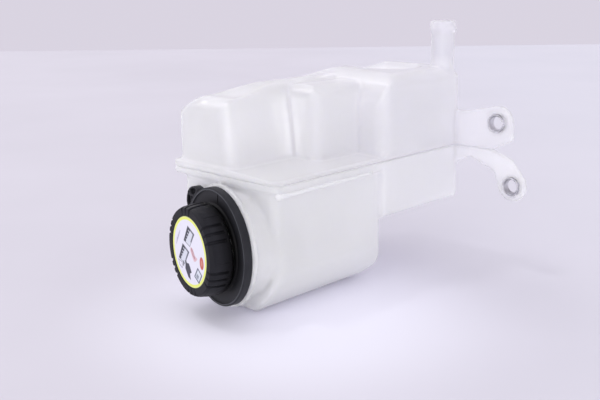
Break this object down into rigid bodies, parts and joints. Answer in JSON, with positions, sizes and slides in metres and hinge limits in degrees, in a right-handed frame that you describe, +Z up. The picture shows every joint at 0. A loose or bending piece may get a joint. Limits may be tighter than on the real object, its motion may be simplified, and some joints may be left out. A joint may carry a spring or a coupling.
{
  "type": "coolant expansion tank",
  "caption": "Translucent coolant expansion tank, welded halves, black screw cap on a side neck, hose spigot on top and fixing ears at one end.",
  "frame": {"origin": "middle of the flat under the deep chamber, on the surface that the tank stands on", "axes": "+X along the tank from the filler end to the foot end with the ears, -Y towards the near side where the ears stand out, +Z up along the hose spigot"},
  "size_m": [0.2359, 0.1624, 0.1825],
  "materials": {
    "milky_plastic": "milky translucent, satin",
    "black_plastic": "fine grain, satin",
    "label_film": "printed film",
    "housing_plastic": "smooth",
    "valve_plastic": "smooth",
    "seal_rubber": "matt",
    "steel": "zinc plated",
    "spring_steel": "bright wire"
  },
  "bodies": {
    "tank": {"tank_lower": "milky_plastic", "tank_upper": "milky_plastic", "sleeve_upper": "steel", "sleeve_lower": "steel", "collar": "black_plastic"},
    "cap_insert": {"valve_housing": "housing_plastic", "neck_gasket": "seal_rubber", "ring_outer": "seal_rubber", "ring_inner": "seal_rubber", "spring_retainer": "housing_plastic", "valve_cage": "housing_plastic", "housing_clip": "steel", "pressure_spring": "spring_steel"},
    "cap_knob": {"knob": "black_plastic", "label_disc": "label_film", "screw_body": "black_plastic"},
    "pressure_valve": {"pressure_disc": "valve_plastic", "pressure_seal": "seal_rubber", "vacuum_spring": "spring_steel"},
    "vacuum_valve": {"vacuum_stem": "valve_plastic", "vacuum_seal": "seal_rubber", "vacuum_washer": "steel"}
  },
  "joints": [
    {"name": "cap_lift", "type": "slide", "parent": "tank", "child": "cap_insert", "axis": [-0.9781, 0.2079, 0], "range_m": [0, 0.0061]},
    {"name": "cap_turn", "type": "hinge", "parent": "cap_insert", "child": "cap_knob", "pos_m": [-0.0555, -0.007, 0.046], "axis": [-0.9781, 0.2079, 0], "range_deg": [0, 540]},
    {"name": "pressure_lift", "type": "slide", "parent": "cap_insert", "child": "pressure_valve", "axis": [-0.9781, 0.2079, 0], "range_m": [0, 0.002], "stiffness_N_per_m": 7000, "springref_m": -0.005, "deforming": ["pressure_spring"]},
    {"name": "vacuum_drop", "type": "slide", "parent": "pressure_valve", "child": "vacuum_valve", "axis": [0.9781, -0.2079, 0], "range_m": [0, 0.0015], "stiffness_N_per_m": 150, "springref_m": -0.002, "deforming": ["vacuum_spring"]}
  ],
  "couplings": [
    {"joint": "cap_lift", "follows": "cap_turn", "m_per_rad": 0.00063662}
  ]
}
